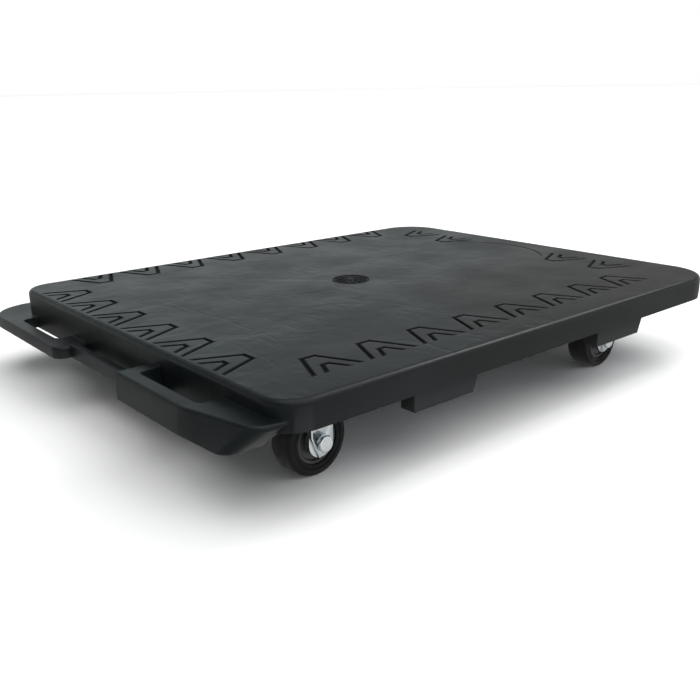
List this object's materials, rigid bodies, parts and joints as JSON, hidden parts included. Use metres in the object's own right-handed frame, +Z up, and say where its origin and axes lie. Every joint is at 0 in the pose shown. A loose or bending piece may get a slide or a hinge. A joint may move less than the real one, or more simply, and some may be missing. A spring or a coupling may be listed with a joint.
{
  "type": "interlocking platform dolly",
  "caption": "Low moulded platform dolly with a grooved flat top, an interlocking ledge with hand holes, hanging lugs and swivel casters.",
  "frame": {"origin": "on the floor, under the middle of the whole footprint, ledges included", "axes": "+X along the length, away from the end with the ledge; +Y across, towards the side with the ledge; +Z up"},
  "size_m": [0.633, 0.52, 0.0905],
  "materials": {
    "deck_plastic": "satin moulded black polypropylene",
    "badge_plastic": "matt black insert",
    "tyre_rubber": "matt black rubber",
    "hub_plastic": "black moulded plastic",
    "spacer_plastic": "natural nylon",
    "ball_steel": "polished steel",
    "zinc_steel": "bright zinc plate"
  },
  "bodies": {
    "deck": {"deck": "deck_plastic", "centre_badge": "badge_plastic", "near_left_mounting_plate": "zinc_steel", "near_left_plate_screws": "zinc_steel", "near_left_king_rivet": "zinc_steel", "near_left_retainer_cup": "zinc_steel", "near_left_upper_balls": "ball_steel", "near_left_lower_balls": "ball_steel", "near_right_mounting_plate": "zinc_steel", "near_right_plate_screws": "zinc_steel", "near_right_king_rivet": "zinc_steel", "near_right_retainer_cup": "zinc_steel", "near_right_upper_balls": "ball_steel", "near_right_lower_balls": "ball_steel", "far_left_mounting_plate": "zinc_steel", "far_left_plate_screws": "zinc_steel", "far_left_king_rivet": "zinc_steel", "far_left_retainer_cup": "zinc_steel", "far_left_upper_balls": "ball_steel", "far_left_lower_balls": "ball_steel", "far_right_mounting_plate": "zinc_steel", "far_right_plate_screws": "zinc_steel", "far_right_king_rivet": "zinc_steel", "far_right_retainer_cup": "zinc_steel", "far_right_upper_balls": "ball_steel", "far_right_lower_balls": "ball_steel"},
    "near_left_swivel": {"near_left_fork": "zinc_steel", "near_left_axle_bolt": "zinc_steel", "near_left_axle_nut": "zinc_steel", "near_left_axle_sleeve": "zinc_steel", "near_left_spacers": "spacer_plastic"},
    "near_left_wheel": {"near_left_wheel_hub": "hub_plastic", "near_left_tyre": "tyre_rubber"},
    "near_right_swivel": {"near_right_fork": "zinc_steel", "near_right_axle_bolt": "zinc_steel", "near_right_axle_nut": "zinc_steel", "near_right_axle_sleeve": "zinc_steel", "near_right_spacers": "spacer_plastic"},
    "near_right_wheel": {"near_right_wheel_hub": "hub_plastic", "near_right_tyre": "tyre_rubber"},
    "far_left_swivel": {"far_left_fork": "zinc_steel", "far_left_axle_bolt": "zinc_steel", "far_left_axle_nut": "zinc_steel", "far_left_axle_sleeve": "zinc_steel", "far_left_spacers": "spacer_plastic"},
    "far_left_wheel": {"far_left_wheel_hub": "hub_plastic", "far_left_tyre": "tyre_rubber"},
    "far_right_swivel": {"far_right_fork": "zinc_steel", "far_right_axle_bolt": "zinc_steel", "far_right_axle_nut": "zinc_steel", "far_right_axle_sleeve": "zinc_steel", "far_right_spacers": "spacer_plastic"},
    "far_right_wheel": {"far_right_wheel_hub": "hub_plastic", "far_right_tyre": "tyre_rubber"}
  },
  "joints": [
    {"name": "near_left_swivel_turn", "type": "hinge", "parent": "deck", "child": "near_left_swivel", "pos_m": [-0.195, -0.1985, 0.07], "axis": [0, 0, 1], "continuous": true},
    {"name": "near_left_wheel_spin", "type": "hinge", "parent": "near_left_swivel", "child": "near_left_wheel", "pos_m": [-0.21697, -0.19965, 0.03], "axis": [-0.0523, 0.9986, 0], "continuous": true},
    {"name": "near_right_swivel_turn", "type": "hinge", "parent": "deck", "child": "near_right_swivel", "pos_m": [0.195, -0.1985, 0.07], "axis": [0, 0, 1], "continuous": true},
    {"name": "near_right_wheel_spin", "type": "hinge", "parent": "near_right_swivel", "child": "near_right_wheel", "pos_m": [0.173, -0.19888, 0.03], "axis": [-0.0175, 0.9998, 0], "continuous": true},
    {"name": "far_left_swivel_turn", "type": "hinge", "parent": "deck", "child": "far_left_swivel", "pos_m": [-0.195, 0.164, 0.07], "axis": [0, 0, 1], "continuous": true},
    {"name": "far_left_wheel_spin", "type": "hinge", "parent": "far_left_swivel", "child": "far_left_wheel", "pos_m": [-0.21695, 0.16553, 0.03], "axis": [0.0698, 0.9976, 0], "continuous": true},
    {"name": "far_right_swivel_turn", "type": "hinge", "parent": "deck", "child": "far_right_swivel", "pos_m": [0.195, 0.164, 0.07], "axis": [0, 0, 1], "continuous": true},
    {"name": "far_right_wheel_spin", "type": "hinge", "parent": "far_right_swivel", "child": "far_right_wheel", "pos_m": [0.17303, 0.16285, 0.03], "axis": [-0.0523, 0.9986, 0], "continuous": true}
  ]
}
